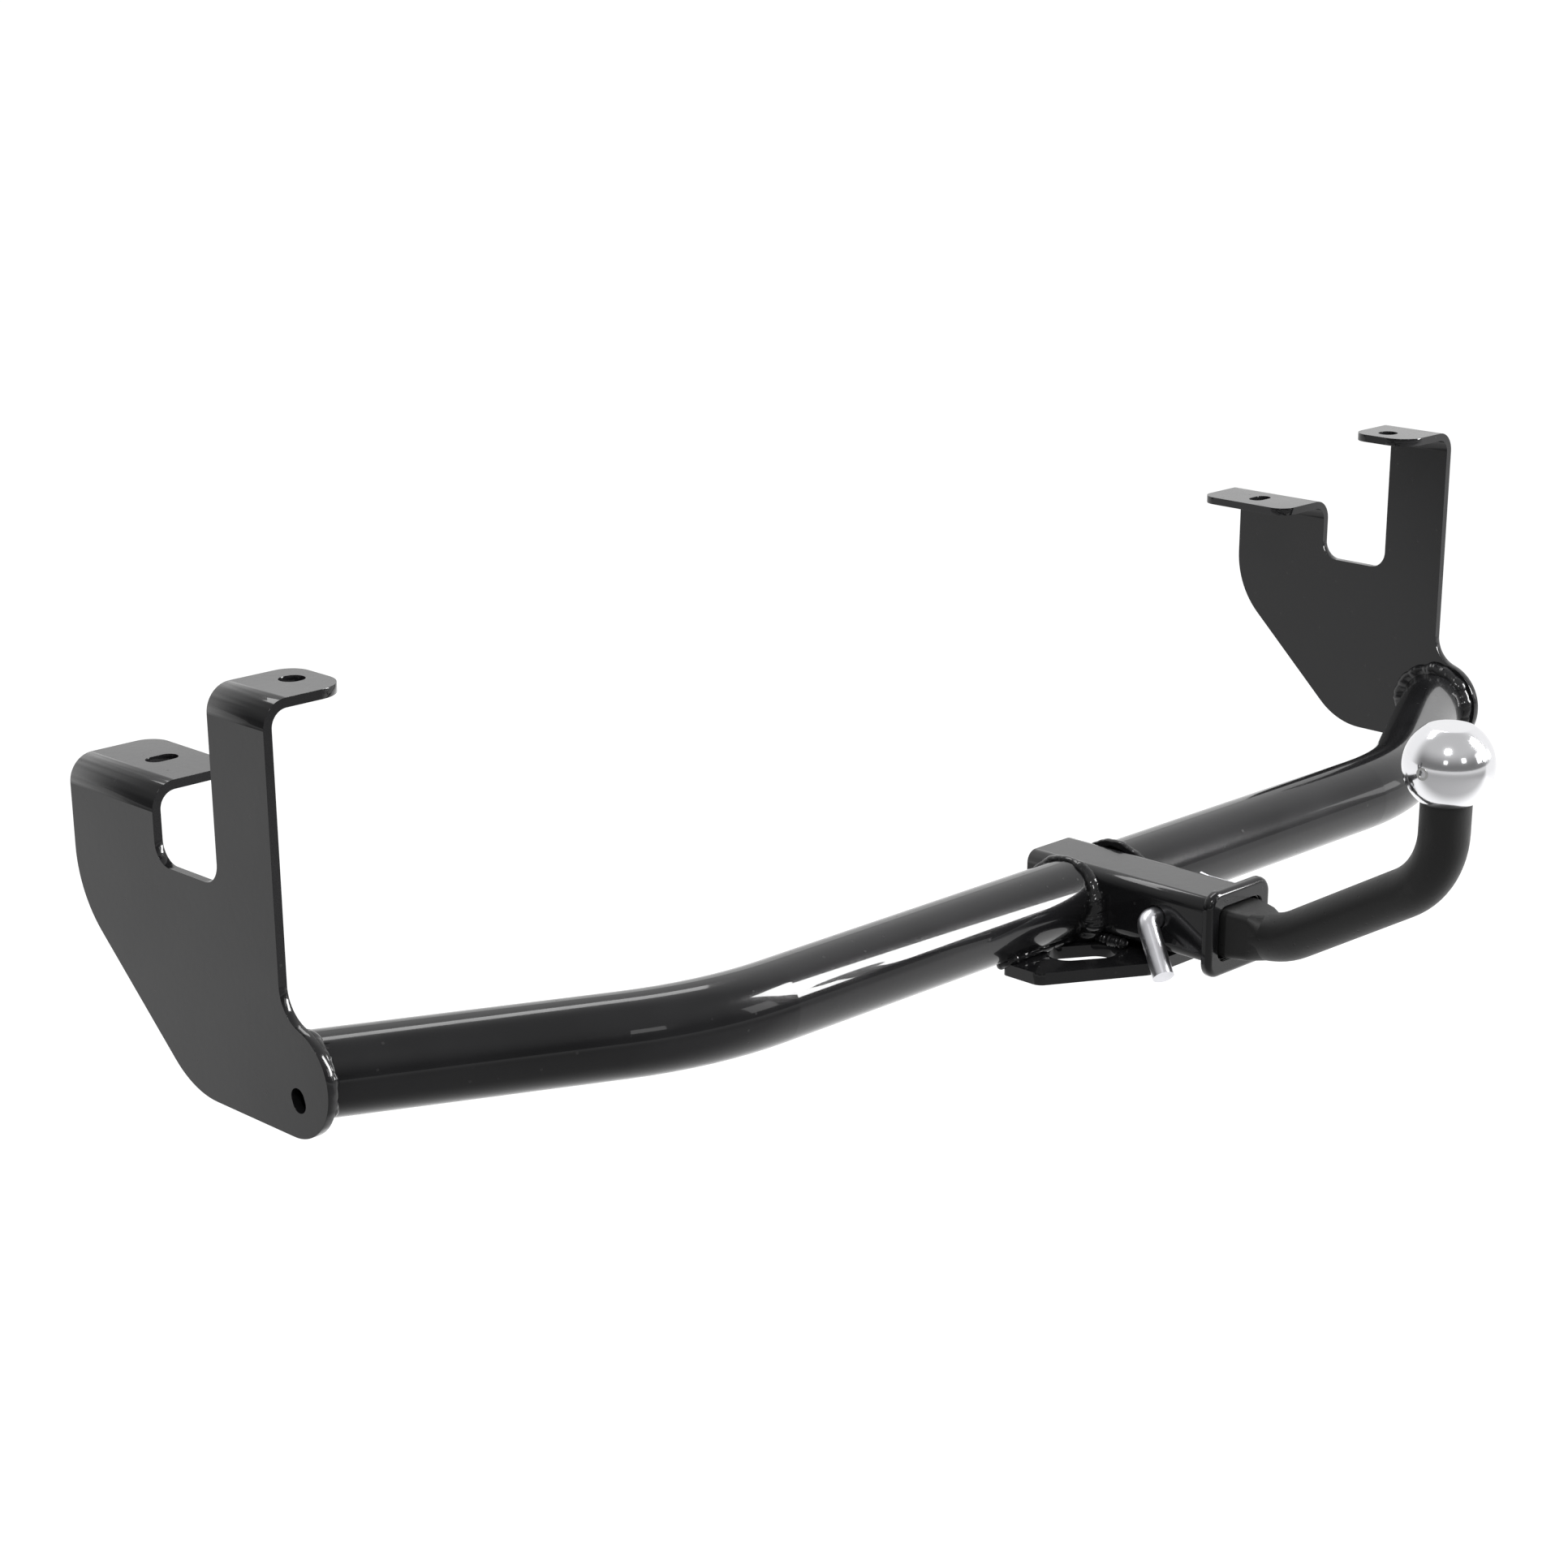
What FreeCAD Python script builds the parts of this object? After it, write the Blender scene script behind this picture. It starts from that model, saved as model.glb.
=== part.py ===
import FreeCAD, Part
import math
import os

# Custom-fit receiver hitch with a swan-neck ball mount.  Millimetres.
# +X is the vehicle's right, +Y its front, +Z up.  The origin lies midway between
# the two rear flange slots, on the plane that seats against the vehicle frame.

V = FreeCAD.Vector
X_AXIS = V(1, 0, 0)
Y_AXIS = V(0, 1, 0)
Z_AXIS = V(0, 0, 1)

# --- side brackets: 5 mm plate, two legs with flanges folded inward -----------
HALF_WIDTH = 490.0          # outer face of a bracket from the middle
PLATE = 5.0
BEND_OUTER_R = 14.0
FLANGE_END_X = 437.5
FLANGE_CORNER_R = 11.5
REAR_FLANGE_INNER_R = 17.5  # rear inner corner of the rear flange
REAR_LEG_Y = (-26.5, 19.0)
REAR_FLANGE_Z = 0.0
FRONT_LEG_Y = (71.5, 144.5)
FRONT_FLANGE_Z = -60.5
NOTCH_Z = -101.3
NOTCH_R = 11.5
BOTTOM_Z = -217.9
DIAGONAL_POINT = (120.3, -155.2)
DIAGONAL_SLOPE = 0.917      # fall per unit of run towards the rear
FRONT_CURVE_R = 57.0
LOWER_CURVE_R = 51.0
LOBE_CENTRE = (-32.3, -188.6)
LOBE_R = 29.3
LOBE_FILLET_R = 19.6
DRAIN_CENTRE = (-37.2, -197.5)
DRAIN_SIZE = (10.5, 13.0)
DRAIN_TILT = -20.0

REAR_SLOT_X = 453.0
REAR_SLOT = (13.5, 12.2)    # end-to-end length, width
FRONT_SLOT_X = 458.3
FRONT_SLOT_Y = 108.0
FRONT_SLOT = (18.0, 10.6)

# --- main tube: 1-3/4 in, one bend each side ----------------------------------
TUBE_R = 22.225
TUBE_WALL = 3.0
TUBE_MID_Y = -126.4
TUBE_MID_Z = -185.4
TUBE_END_Y = -28.5
TUBE_END_Z = -188.9
TUBE_BEND_X = 301.5
TUBE_BEND_R = 178.0

# --- receiver: rectangular tube, wider than tall, with a mouth collar ----------
# Every *_HALF pair is half the width (X) and half the height (Z).
RECEIVER_HALF = (21.0, 18.5)
RECEIVER_CORNER_R = 7.0
RECEIVER_BORE_HALF = (17.0, 14.4)
RECEIVER_BORE_R = 3.0
RECEIVER_Z = -183.2
RECEIVER_FRONT_Y = -95.5
RECEIVER_MOUTH_Y = -230.6
COLLAR_HALF = (26.6, 24.6)
COLLAR_CORNER_R = 9.5
COLLAR_BACK_Y = -226.1
COLLAR_FACE_Y = -232.0
COLLAR_EDGE_R = 3.0
COLLAR_LIP_HALF = (18.6, 15.4)
COLLAR_LIP_R = 5.0

# --- safety-chain plate -------------------------------------------------------
CHAIN_PLATE_T = 7.0
CHAIN_PLATE_TOP_Z = -206.8
CHAIN_PLATE_HALF = 83.6
CHAIN_PLATE_FRONT_Y = -133.0
CHAIN_PLATE_SIDE_Y = -159.5
CHAIN_PLATE_REAR_Y = -192.6
CHAIN_PLATE_REAR_HALF = 27.0
CHAIN_PLATE_CORNER_R = 7.0
CHAIN_SLOT = (39.5, 22.5)
CHAIN_SLOT_X = 40.0
CHAIN_SLOT_Y = -154.0
CHAIN_SLOT_TURN = 33.0

# --- ball mount: square-sided shank, shoulder, round neck, ball ----------------
SHANK_HALF = (16.3, 13.7)
SHANK_CORNER_R = 3.5
SHANK_INNER_Y = -150.0
SHANK_OUTER_Y = -234.5
NECK_R = 13.4
NECK_START_Y = -246.0
NECK_FLAT_R = 5.0           # corner radius where the neck leaves the shoulder
NECK_FLAT_RUN = 8.0         # length over which the corners fade out
NECK_FADE = 0.4             # the faded end sits this far inside the neck
NECK_LEVEL_Z = -183.2
NECK_SLOPE_DEG = 30.5
NECK_LOW_BEND_R = 46.0
NECK_TOP_BEND_R = 44.0
NECK_TOP_Z = -125.5         # where the slope line meets the ball's axis
BALL_Y = -358.6
BALL_Z = -64.5
BALL_R = 23.8
BALL_FLAT_Z = BALL_Z + 20.6
BALL_SEAT_Z = BALL_Z - 19.7
PLUG_R = 3.3                # round plug on the ball's left side
PLUG_DEPTH = 3.0
PLUG_PROUD = 0.45
PLUG_DISH_R = 2.1
PLUG_DISH = 0.35

# --- bent hitch pin and its hairpin clip --------------------------------------
PIN_Y = -189.8
PIN_Z = -182.0
PIN_R = 6.0
PIN_HOLE_R = 6.6
PIN_GRIP_X = -29.0          # axis of the bent-down handle
PIN_BEND_R = 7.5
PIN_HANDLE_LENGTH = 35.5
PIN_HANDLE_LEAN = 44.0      # handle swung rearward from hanging, degrees
PIN_HANDLE_FLARE = 20.6     # handle splayed away from the receiver, degrees
PIN_TIP_X = 44.0
PIN_CHAMFER = 2.0
CLIP_X = 36.5
CLIP_HOLE_R = 1.9
CLIP_WIRE_R = 1.25
CLIP_TAIL = 14.0            # straight leg in front of the pin's axis
CLIP_REACH = 15.5           # legs behind the pin's axis, up to the loop
CLIP_GAP = 0.35             # between the pin and the outer leg
CLIP_FLICK = 1.0            # the outer leg's end kicks up by this much
CLIP_FLICK_RUN = 6.0

# --- weld beads ---------------------------------------------------------------
BRACKET_BEAD_R = 5.6
RECEIVER_BEAD_R = 4.2
CHAIN_BEAD_R = 4.0
CHAIN_BEAD_Y = -137.9
CHAIN_BEAD_RISE = 2.6       # bead centre above the chain plate
NUB_R = 5.4
NUB_Y = -129.6
NUB_DROP = 2.8              # nub centre below the chain plate's top
BRIDGE_BEAD_R = 4.6
BRIDGE_BEAD_Y = (-167.0, -147.0)
BRIDGE_BEAD_RISE = 2.5
BRIDGE_BEAD_INSET = 2.2     # inboard of the receiver's side wall
COLLAR_BEAD_R = 1.8
FAR = 600.0                 # longer than the whole hitch, for trimming blocks


def yz(point, x=0.0):
    return V(x, point[0], point[1])


def box(x, y, z):
    """Axis-aligned block from (low, high) pairs."""
    return Part.makeBox(x[1] - x[0], y[1] - y[0], z[1] - z[0], V(x[0], y[0], z[0]))


def mirrored(shape):
    return shape.mirror(V(0, 0, 0), X_AXIS)


def corner(before, point, after, radius):
    """Tangent points and arc middle that round one corner of an outline."""
    u = (before - point).normalize()
    v = (after - point).normalize()
    half = u.getAngle(v) / 2
    reach = radius / math.tan(half)
    middle = point + (u + v).normalize() * (radius / math.sin(half) - radius)
    return point + u * reach, middle, point + v * reach


def rounded_face(corners):
    """Face from (point, radius) corners; radius 0 leaves a corner sharp."""
    points = [c[0] for c in corners]
    edges = []
    ends = []
    for i, (point, radius) in enumerate(corners):
        if radius:
            a, m, b = corner(points[i - 1], point, points[(i + 1) % len(points)], radius)
            ends.append((a, m, b))
        else:
            ends.append((point, None, point))
    for i, (a, m, b) in enumerate(ends):
        if m is not None:
            edges.append(Part.Arc(a, m, b).toShape())
        start = ends[(i + 1) % len(ends)][0]
        if b.distanceToPoint(start) > 1e-6:
            edges.append(Part.makeLine(b, start))
    return Part.Face(Part.Wire(Part.__sortEdges__(edges)))


def section(half, radius, y, z=RECEIVER_Z):
    """Rounded rectangle in a plane across Y, centred on the middle."""
    hx, hz = half
    points = [(-hx, -hz), (hx, -hz), (hx, hz), (-hx, hz)]
    return rounded_face([(V(px, y, z + pz), radius) for px, pz in points])


def block(half, radius, low_y, high_y):
    """Rounded rectangular bar along Y on the receiver's axis."""
    return section(half, radius, low_y).extrude(V(0, high_y - low_y, 0))


def slot_cut(centre, size, low, high):
    """Vertical cutter for a round-ended slot that runs along X."""
    length, width = size
    r = width / 2
    reach = (length - width) / 2
    x, y = centre
    tool = box((x - reach, x + reach), (y - r, y + r), (low, high))
    for end in (x - reach, x + reach):
        tool = tool.fuse(Part.makeCylinder(r, high - low, V(end, y, low)))
    return tool.removeSplitter()


def pipe(path, radius, normal):
    """Round bar along a wire; normal is the path's starting direction."""
    start = path.Edges[0].valueAt(path.Edges[0].FirstParameter)
    ring = Part.Wire(Part.Circle(start, normal, radius).toShape())
    return path.makePipeShell([ring], True, False)


def bent_path(points, radii):
    """Wire through points, each inner point rounded to its radius."""
    edges = []
    last = points[0]
    for i in range(1, len(points) - 1):
        a, m, b = corner(points[i - 1], points[i], points[i + 1], radii[i - 1])
        edges.append(Part.makeLine(last, a))
        edges.append(Part.Arc(a, m, b).toShape())
        last = b
    edges.append(Part.makeLine(last, points[-1]))
    return Part.Wire(edges)


# --- brackets -----------------------------------------------------------------
def bracket_outline():
    """Side profile of a bracket, legs run up past the flange planes."""
    top = REAR_FLANGE_Z + 5.0
    rear, front = REAR_LEG_Y
    short_rear, short_front = FRONT_LEG_Y
    y0, z0 = DIAGONAL_POINT
    front_knee = z0 + (short_front - y0) * DIAGONAL_SLOPE
    low_knee = y0 - (z0 - BOTTOM_Z) / DIAGONAL_SLOPE
    return [
        ((short_front, top), 0),
        ((short_front, front_knee), FRONT_CURVE_R),
        ((low_knee, BOTTOM_Z), LOWER_CURVE_R),
        ((LOBE_CENTRE[0], BOTTOM_Z), 0),
        ((LOBE_CENTRE[0], LOBE_CENTRE[1] + LOBE_R), 0),
        ((rear, LOBE_CENTRE[1] + LOBE_R), 0),
        ((rear, top), 0),
        ((front, top), 0),
        ((front, NOTCH_Z), NOTCH_R),
        ((short_rear, NOTCH_Z), NOTCH_R),
        ((short_rear, top), 0),
    ]


def lobe_fillet_block(depth, x):
    """Web between the lobe and the rear edge, with its hollow fillet."""
    rear = REAR_LEG_Y[0]
    centre_y = rear - LOBE_FILLET_R
    rise = math.sqrt((LOBE_R + LOBE_FILLET_R) ** 2 - (centre_y - LOBE_CENTRE[0]) ** 2)
    centre_z = LOBE_CENTRE[1] + rise
    web = box((x, x + depth), (centre_y, rear + 4), (LOBE_CENTRE[1], centre_z))
    hollow = Part.makeCylinder(LOBE_FILLET_R, depth, V(x, centre_y, centre_z), X_AXIS)
    share = LOBE_R / (LOBE_R + LOBE_FILLET_R)
    tangent_y = LOBE_CENTRE[0] + share * (centre_y - LOBE_CENTRE[0])
    keep = box((x, x + depth), (tangent_y, rear + 4), (LOBE_CENTRE[1], centre_z))
    return web.common(keep).cut(hollow)


def drain_cutter(x, depth):
    """Oblong drain hole through the lobe, tilted in the plate's plane."""
    width, length = DRAIN_SIZE
    y, z = DRAIN_CENTRE
    reach = (length - width) / 2
    tool = box((x, x + depth), (y - width / 2, y + width / 2), (z - reach, z + reach))
    for end in (z - reach, z + reach):
        tool = tool.fuse(Part.makeCylinder(width / 2, depth, V(x, y, end), X_AXIS))
    tool.rotate(V(x, y, z), X_AXIS, DRAIN_TILT)
    return tool


def bend_section(top_z):
    """Plate section in the XZ plane: leg up, bend, flange inward."""
    outer = -HALF_WIDTH
    inner = outer + PLATE
    low = BOTTOM_Z - 1
    return [
        (V(outer, 0, low), 0),
        (V(outer, 0, top_z), BEND_OUTER_R),
        (V(-FLANGE_END_X, 0, top_z), 0),
        (V(-FLANGE_END_X, 0, top_z - PLATE), 0),
        (V(inner, 0, top_z - PLATE), BEND_OUTER_R - PLATE),
        (V(inner, 0, low), 0),
    ]


def folded_leg(leg_y, top_z, inner_r):
    """Leg and flange over one leg's width, flange end corners rounded."""
    face = rounded_face(bend_section(top_z))
    face.translate(V(0, leg_y[0], 0))
    solid = face.extrude(V(0, leg_y[1] - leg_y[0], 0))
    rails = [
        (V(-HALF_WIDTH - 1, leg_y[0], top_z - PLATE - 1), 0),
        (V(-FLANGE_END_X, leg_y[0], top_z - PLATE - 1), inner_r),
        (V(-FLANGE_END_X, leg_y[1], top_z - PLATE - 1), FLANGE_CORNER_R),
        (V(-HALF_WIDTH - 1, leg_y[1], top_z - PLATE - 1), 0),
    ]
    plan = rounded_face(rails).extrude(V(0, 0, PLATE + 2))
    below = box(
        (-HALF_WIDTH - 1, -FLANGE_END_X),
        (leg_y[0], leg_y[1]),
        (BOTTOM_Z - 2, top_z - PLATE - 1),
    )
    return solid.common(plan.fuse(below))


def left_bracket():
    x = -HALF_WIDTH
    outline = [(yz(p, x), r) for p, r in bracket_outline()]
    blank = rounded_face(outline).extrude(V(PLATE, 0, 0))
    lobe = Part.makeCylinder(LOBE_R, PLATE, yz(LOBE_CENTRE, x), X_AXIS)
    blank = blank.fuse([lobe, lobe_fillet_block(PLATE, x)])
    split_y = (REAR_LEG_Y[1] + FRONT_LEG_Y[0]) / 2
    rear_bend_z = REAR_FLANGE_Z - BEND_OUTER_R
    front_bend_z = FRONT_FLANGE_Z - BEND_OUTER_R
    span = (x - 1, x + PLATE + 1)
    blank = blank.cut(box(span, (split_y, 200), (front_bend_z, 60)))
    blank = blank.cut(box(span, (-120, split_y), (rear_bend_z, 60)))
    rear = folded_leg(REAR_LEG_Y, REAR_FLANGE_Z, REAR_FLANGE_INNER_R)
    front = folded_leg(FRONT_LEG_Y, FRONT_FLANGE_Z, FLANGE_CORNER_R)
    wide = (x - 2, -FLANGE_END_X + 1)
    rear = rear.common(box(wide, (-120, 120), (rear_bend_z, 60)))
    front = front.common(box(wide, (0, 200), (front_bend_z, 60)))
    body = blank.fuse([rear, front]).removeSplitter()
    cutters = [
        slot_cut((-REAR_SLOT_X, 0), REAR_SLOT, REAR_FLANGE_Z - 8, REAR_FLANGE_Z + 2),
        slot_cut(
            (-FRONT_SLOT_X, FRONT_SLOT_Y), FRONT_SLOT, FRONT_FLANGE_Z - 8, FRONT_FLANGE_Z + 2
        ),
        drain_cutter(x - 1, PLATE + 2),
    ]
    return body.cut(cutters)


# --- main tube ----------------------------------------------------------------
def tube_points():
    return [
        V(0, TUBE_MID_Y, TUBE_MID_Z),
        V(-TUBE_BEND_X, TUBE_MID_Y, TUBE_MID_Z),
        V(-(HALF_WIDTH + 15), *tube_end_yz(HALF_WIDTH + 15)),
    ]


def tube_end_yz(x):
    """Axis position of the outer run at a distance x from the middle."""
    share = (x - TUBE_BEND_X) / (HALF_WIDTH - PLATE - TUBE_BEND_X)
    y = TUBE_MID_Y + share * (TUBE_END_Y - TUBE_MID_Y)
    z = TUBE_MID_Z + share * (TUBE_END_Z - TUBE_MID_Z)
    return y, z


def tube_bar(radius):
    """Left half of the bent tube as a solid bar, ended at the bracket."""
    path = bent_path(tube_points(), [TUBE_BEND_R])
    bar = pipe(path, radius, X_AXIS)
    limit = box((-(HALF_WIDTH - PLATE), 0), (-FAR, FAR), (-FAR, FAR))
    return bar.common(limit)


def main_tube():
    """Bent tube, notched from above where the receiver passes through."""
    half = tube_bar(TUBE_R).cut(tube_bar(TUBE_R - TUBE_WALL))
    tube = half.fuse(mirrored(half)).removeSplitter()
    hx = RECEIVER_HALF[0]
    notch = box((-hx, hx), (-FAR, 0), (RECEIVER_Z, 0))
    return tube.cut([receiver_outside(), notch])


# --- receiver -----------------------------------------------------------------
def receiver_outside():
    return block(RECEIVER_HALF, RECEIVER_CORNER_R, RECEIVER_MOUTH_Y, RECEIVER_FRONT_Y)


def pin_cutter(radius):
    return Part.makeCylinder(radius, FAR, V(-FAR / 2, PIN_Y, PIN_Z), X_AXIS)


def receiver_tube():
    bore = block(
        RECEIVER_BORE_HALF, RECEIVER_BORE_R, RECEIVER_MOUTH_Y - 1, RECEIVER_FRONT_Y + 1
    )
    return receiver_outside().cut([bore, pin_cutter(PIN_HOLE_R)])


def receiver_collar():
    ring = block(COLLAR_HALF, COLLAR_CORNER_R, COLLAR_FACE_Y, COLLAR_BACK_Y)
    rim = [e for e in ring.Edges if abs(e.BoundBox.YMax - COLLAR_FACE_Y) < 1e-6]
    ring = ring.makeFillet(COLLAR_EDGE_R, rim)
    socket = block(RECEIVER_HALF, RECEIVER_CORNER_R, RECEIVER_MOUTH_Y, COLLAR_BACK_Y + 1)
    lip = block(COLLAR_LIP_HALF, COLLAR_LIP_R, COLLAR_FACE_Y - 1, RECEIVER_MOUTH_Y + 1)
    return ring.cut([socket, lip])


# --- chain plate --------------------------------------------------------------
def chain_plate():
    rear = CHAIN_PLATE_REAR_HALF
    half = CHAIN_PLATE_HALF
    corners = [
        ((-half, CHAIN_PLATE_FRONT_Y), 3.0),
        ((half, CHAIN_PLATE_FRONT_Y), 3.0),
        ((half, CHAIN_PLATE_SIDE_Y), CHAIN_PLATE_CORNER_R),
        ((rear, CHAIN_PLATE_REAR_Y), CHAIN_PLATE_CORNER_R),
        ((-rear, CHAIN_PLATE_REAR_Y), CHAIN_PLATE_CORNER_R),
        ((-half, CHAIN_PLATE_SIDE_Y), CHAIN_PLATE_CORNER_R),
    ]
    low = CHAIN_PLATE_TOP_Z - CHAIN_PLATE_T
    face = rounded_face([(V(x, y, low), r) for (x, y), r in corners])
    plate = face.extrude(V(0, 0, CHAIN_PLATE_T))
    for side in (-1, 1):
        tool = slot_cut((0, 0), CHAIN_SLOT, low - 1, CHAIN_PLATE_TOP_Z + 1)
        tool.rotate(V(0, 0, 0), Z_AXIS, side * CHAIN_SLOT_TURN)
        tool.translate(V(side * CHAIN_SLOT_X, CHAIN_SLOT_Y, 0))
        plate = plate.cut(tool)
    return plate


# --- welds --------------------------------------------------------------------
def bead_ring(x, radius, stretch):
    """Closed round bead on the left tube's outline in a plane across X."""
    y, z = tube_end_yz(x) if x > TUBE_BEND_X else (TUBE_MID_Y, TUBE_MID_Z)
    centre = V(-x, y, z)
    if stretch > 1:
        wide = centre + V(0, TUBE_R * stretch, 0)
        curve = Part.Ellipse(wide, centre + V(0, 0, TUBE_R), centre)
    else:
        curve = Part.Circle(centre, X_AXIS, TUBE_R)
    path = Part.Wire(curve.toShape())
    first = path.Edges[0]
    start = first.valueAt(first.FirstParameter)
    tangent = first.tangentAt(first.FirstParameter)
    ring = Part.Wire(Part.Circle(start, tangent, radius).toShape())
    return path.makePipeShell([ring], True, True)


def left_bracket_weld():
    inner = HALF_WIDTH - PLATE
    run = V(inner - TUBE_BEND_X, TUBE_END_Y - TUBE_MID_Y, 0)
    bead = bead_ring(inner, BRACKET_BEAD_R, run.Length / run.x)
    keep = box((-inner, 0), (-FAR, FAR), (-FAR, FAR))
    return bead.common(keep).cut(tube_bar(TUBE_R))


def left_receiver_weld():
    """Bead round the tube where it meets the receiver's side wall."""
    wall = RECEIVER_HALF[0]
    bead = bead_ring(wall, RECEIVER_BEAD_R, 1)
    keep = box((-FAR, -wall), (-FAR, FAR), (CHAIN_PLATE_TOP_Z, FAR))
    return bead.cut(tube_bar(TUBE_R)).common(keep)


def left_chain_weld():
    """Bead in the crevice behind the tube, with a nub under the plate's front."""
    end = RECEIVER_HALF[0] + RECEIVER_BEAD_R + 0.5
    length = CHAIN_PLATE_HALF - end
    start = V(-CHAIN_PLATE_HALF, CHAIN_BEAD_Y, CHAIN_PLATE_TOP_Z + CHAIN_BEAD_RISE)
    bead = Part.makeCylinder(CHAIN_BEAD_R, length, start, X_AXIS)
    nub_at = V(-CHAIN_PLATE_HALF, NUB_Y, CHAIN_PLATE_TOP_Z - NUB_DROP)
    nub = Part.makeSphere(NUB_R, nub_at)
    nub = nub.fuse(Part.makeCylinder(NUB_R, length, nub_at, X_AXIS))
    plate = box(
        (-CHAIN_PLATE_HALF, 0),
        (-FAR, CHAIN_PLATE_FRONT_Y),
        (CHAIN_PLATE_TOP_Z - CHAIN_PLATE_T, CHAIN_PLATE_TOP_Z),
    )
    wrap = V(-CHAIN_PLATE_HALF, (CHAIN_BEAD_Y + NUB_Y) / 2, CHAIN_PLATE_TOP_Z)
    bead = bead.fuse([nub, Part.makeSphere(NUB_R, wrap)])
    return bead.cut([plate, tube_bar(TUBE_R)]).removeSplitter()


def left_bridge_weld():
    """Bead between the receiver's lower corner and the chain plate."""
    low, high = BRIDGE_BEAD_Y
    x = -RECEIVER_HALF[0] + BRIDGE_BEAD_INSET
    start = V(x, low, CHAIN_PLATE_TOP_Z + BRIDGE_BEAD_RISE)
    bead = Part.makeCylinder(BRIDGE_BEAD_R, high - low, start, Y_AXIS)
    plate = box((-FAR, 0), (-FAR, 0), (-FAR, CHAIN_PLATE_TOP_Z))
    return bead.cut([receiver_outside(), plate, left_chain_weld(), left_receiver_weld()])


def collar_weld():
    outer = [h + COLLAR_BEAD_R for h in RECEIVER_HALF]
    top = COLLAR_BACK_Y + COLLAR_BEAD_R
    ring = block(outer, RECEIVER_CORNER_R + COLLAR_BEAD_R, COLLAR_BACK_Y, top)
    rim = [e for e in ring.Edges if e.BoundBox.YMin > top - 1e-6]
    ring = ring.makeChamfer(COLLAR_BEAD_R - 0.3, rim)
    return ring.cut(receiver_outside())


# --- ball mount ---------------------------------------------------------------
def neck_path():
    """Centre line: level from the shank, up the slope, then upright."""
    slope = math.tan(math.radians(NECK_SLOPE_DEG))
    foot_y = BALL_Y + (NECK_TOP_Z - NECK_LEVEL_Z) / slope
    points = [
        V(0, NECK_START_Y, NECK_LEVEL_Z),
        V(0, foot_y, NECK_LEVEL_Z),
        V(0, BALL_Y, NECK_TOP_Z),
        V(0, BALL_Y, BALL_SEAT_Z),
    ]
    return bent_path(points, [NECK_LOW_BEND_R, NECK_TOP_BEND_R])


def loft_step(back, front):
    """Solid between two rounded rectangles given as (half, radius, y, z)."""
    wires = [section(*step).OuterWire for step in (back, front)]
    return Part.makeLoft(wires, True, True)


def ball_mount():
    shank = block(SHANK_HALF, SHANK_CORNER_R, SHANK_OUTER_Y, SHANK_INNER_Y)
    shank_end = (SHANK_HALF, SHANK_CORNER_R, SHANK_OUTER_Y, RECEIVER_Z)
    flats = ((NECK_R, NECK_R), NECK_FLAT_R, NECK_START_Y, NECK_LEVEL_Z)
    inside = NECK_R - NECK_FADE
    fade_y = NECK_START_Y - NECK_FLAT_RUN
    faded = ((inside, inside), inside - 0.05, fade_y, NECK_LEVEL_Z)
    neck = pipe(neck_path(), NECK_R, Y_AXIS)
    steps = [loft_step(shank_end, flats), loft_step(flats, faded), neck]
    return shank.fuse(steps).removeSplitter().cut(pin_cutter(PIN_HOLE_R))


def plug_bar(radius, depth, length):
    """Bar along X on the ball's left side, starting at a depth inside the ball."""
    start = V(-BALL_R + depth, BALL_Y, BALL_Z)
    return Part.makeCylinder(radius, length, start, -X_AXIS)


def tow_ball():
    ball = Part.makeSphere(BALL_R, V(0, BALL_Y, BALL_Z))
    sides = (BALL_Y - BALL_R, BALL_Y + BALL_R)
    ball = ball.common(box((-BALL_R, BALL_R), sides, (BALL_SEAT_Z, BALL_FLAT_Z)))
    return ball.cut(plug_bar(PLUG_R, PLUG_DEPTH, 2 * PLUG_DEPTH))


def ball_plug():
    """Disc set into the ball, its outer face dished inside a narrow rim."""
    sagitta = BALL_R - math.sqrt(BALL_R**2 - PLUG_R**2)
    length = PLUG_DEPTH - sagitta + PLUG_PROUD
    plug = plug_bar(PLUG_R, PLUG_DEPTH, length)
    return plug.cut(plug_bar(PLUG_DISH_R, PLUG_DEPTH - length + PLUG_DISH, PLUG_DEPTH))


# --- hitch pin and clip -------------------------------------------------------
def hitch_pin():
    lean = math.radians(PIN_HANDLE_LEAN)
    flare = math.radians(PIN_HANDLE_FLARE)
    drop = PIN_HANDLE_LENGTH * math.cos(flare)
    foot = V(
        PIN_GRIP_X - PIN_HANDLE_LENGTH * math.sin(flare),
        PIN_Y - drop * math.sin(lean),
        PIN_Z - drop * math.cos(lean),
    )
    points = [V(PIN_TIP_X, PIN_Y, PIN_Z), V(PIN_GRIP_X, PIN_Y, PIN_Z), foot]
    pin = pipe(bent_path(points, [PIN_BEND_R]), PIN_R, X_AXIS)
    tip = [e for e in pin.Edges if e.BoundBox.XMin > PIN_TIP_X - 1e-6]
    pin = pin.makeChamfer(PIN_CHAMFER, tip)
    start = V(CLIP_X, PIN_Y - 2 * PIN_R, PIN_Z)
    return pin.cut(Part.makeCylinder(CLIP_HOLE_R, 4 * PIN_R, start, Y_AXIS))


def clip_point(back, up):
    """Point in the clip's plane, measured rearward and up from the pin's axis."""
    return V(CLIP_X, PIN_Y - back, PIN_Z + up)


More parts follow.
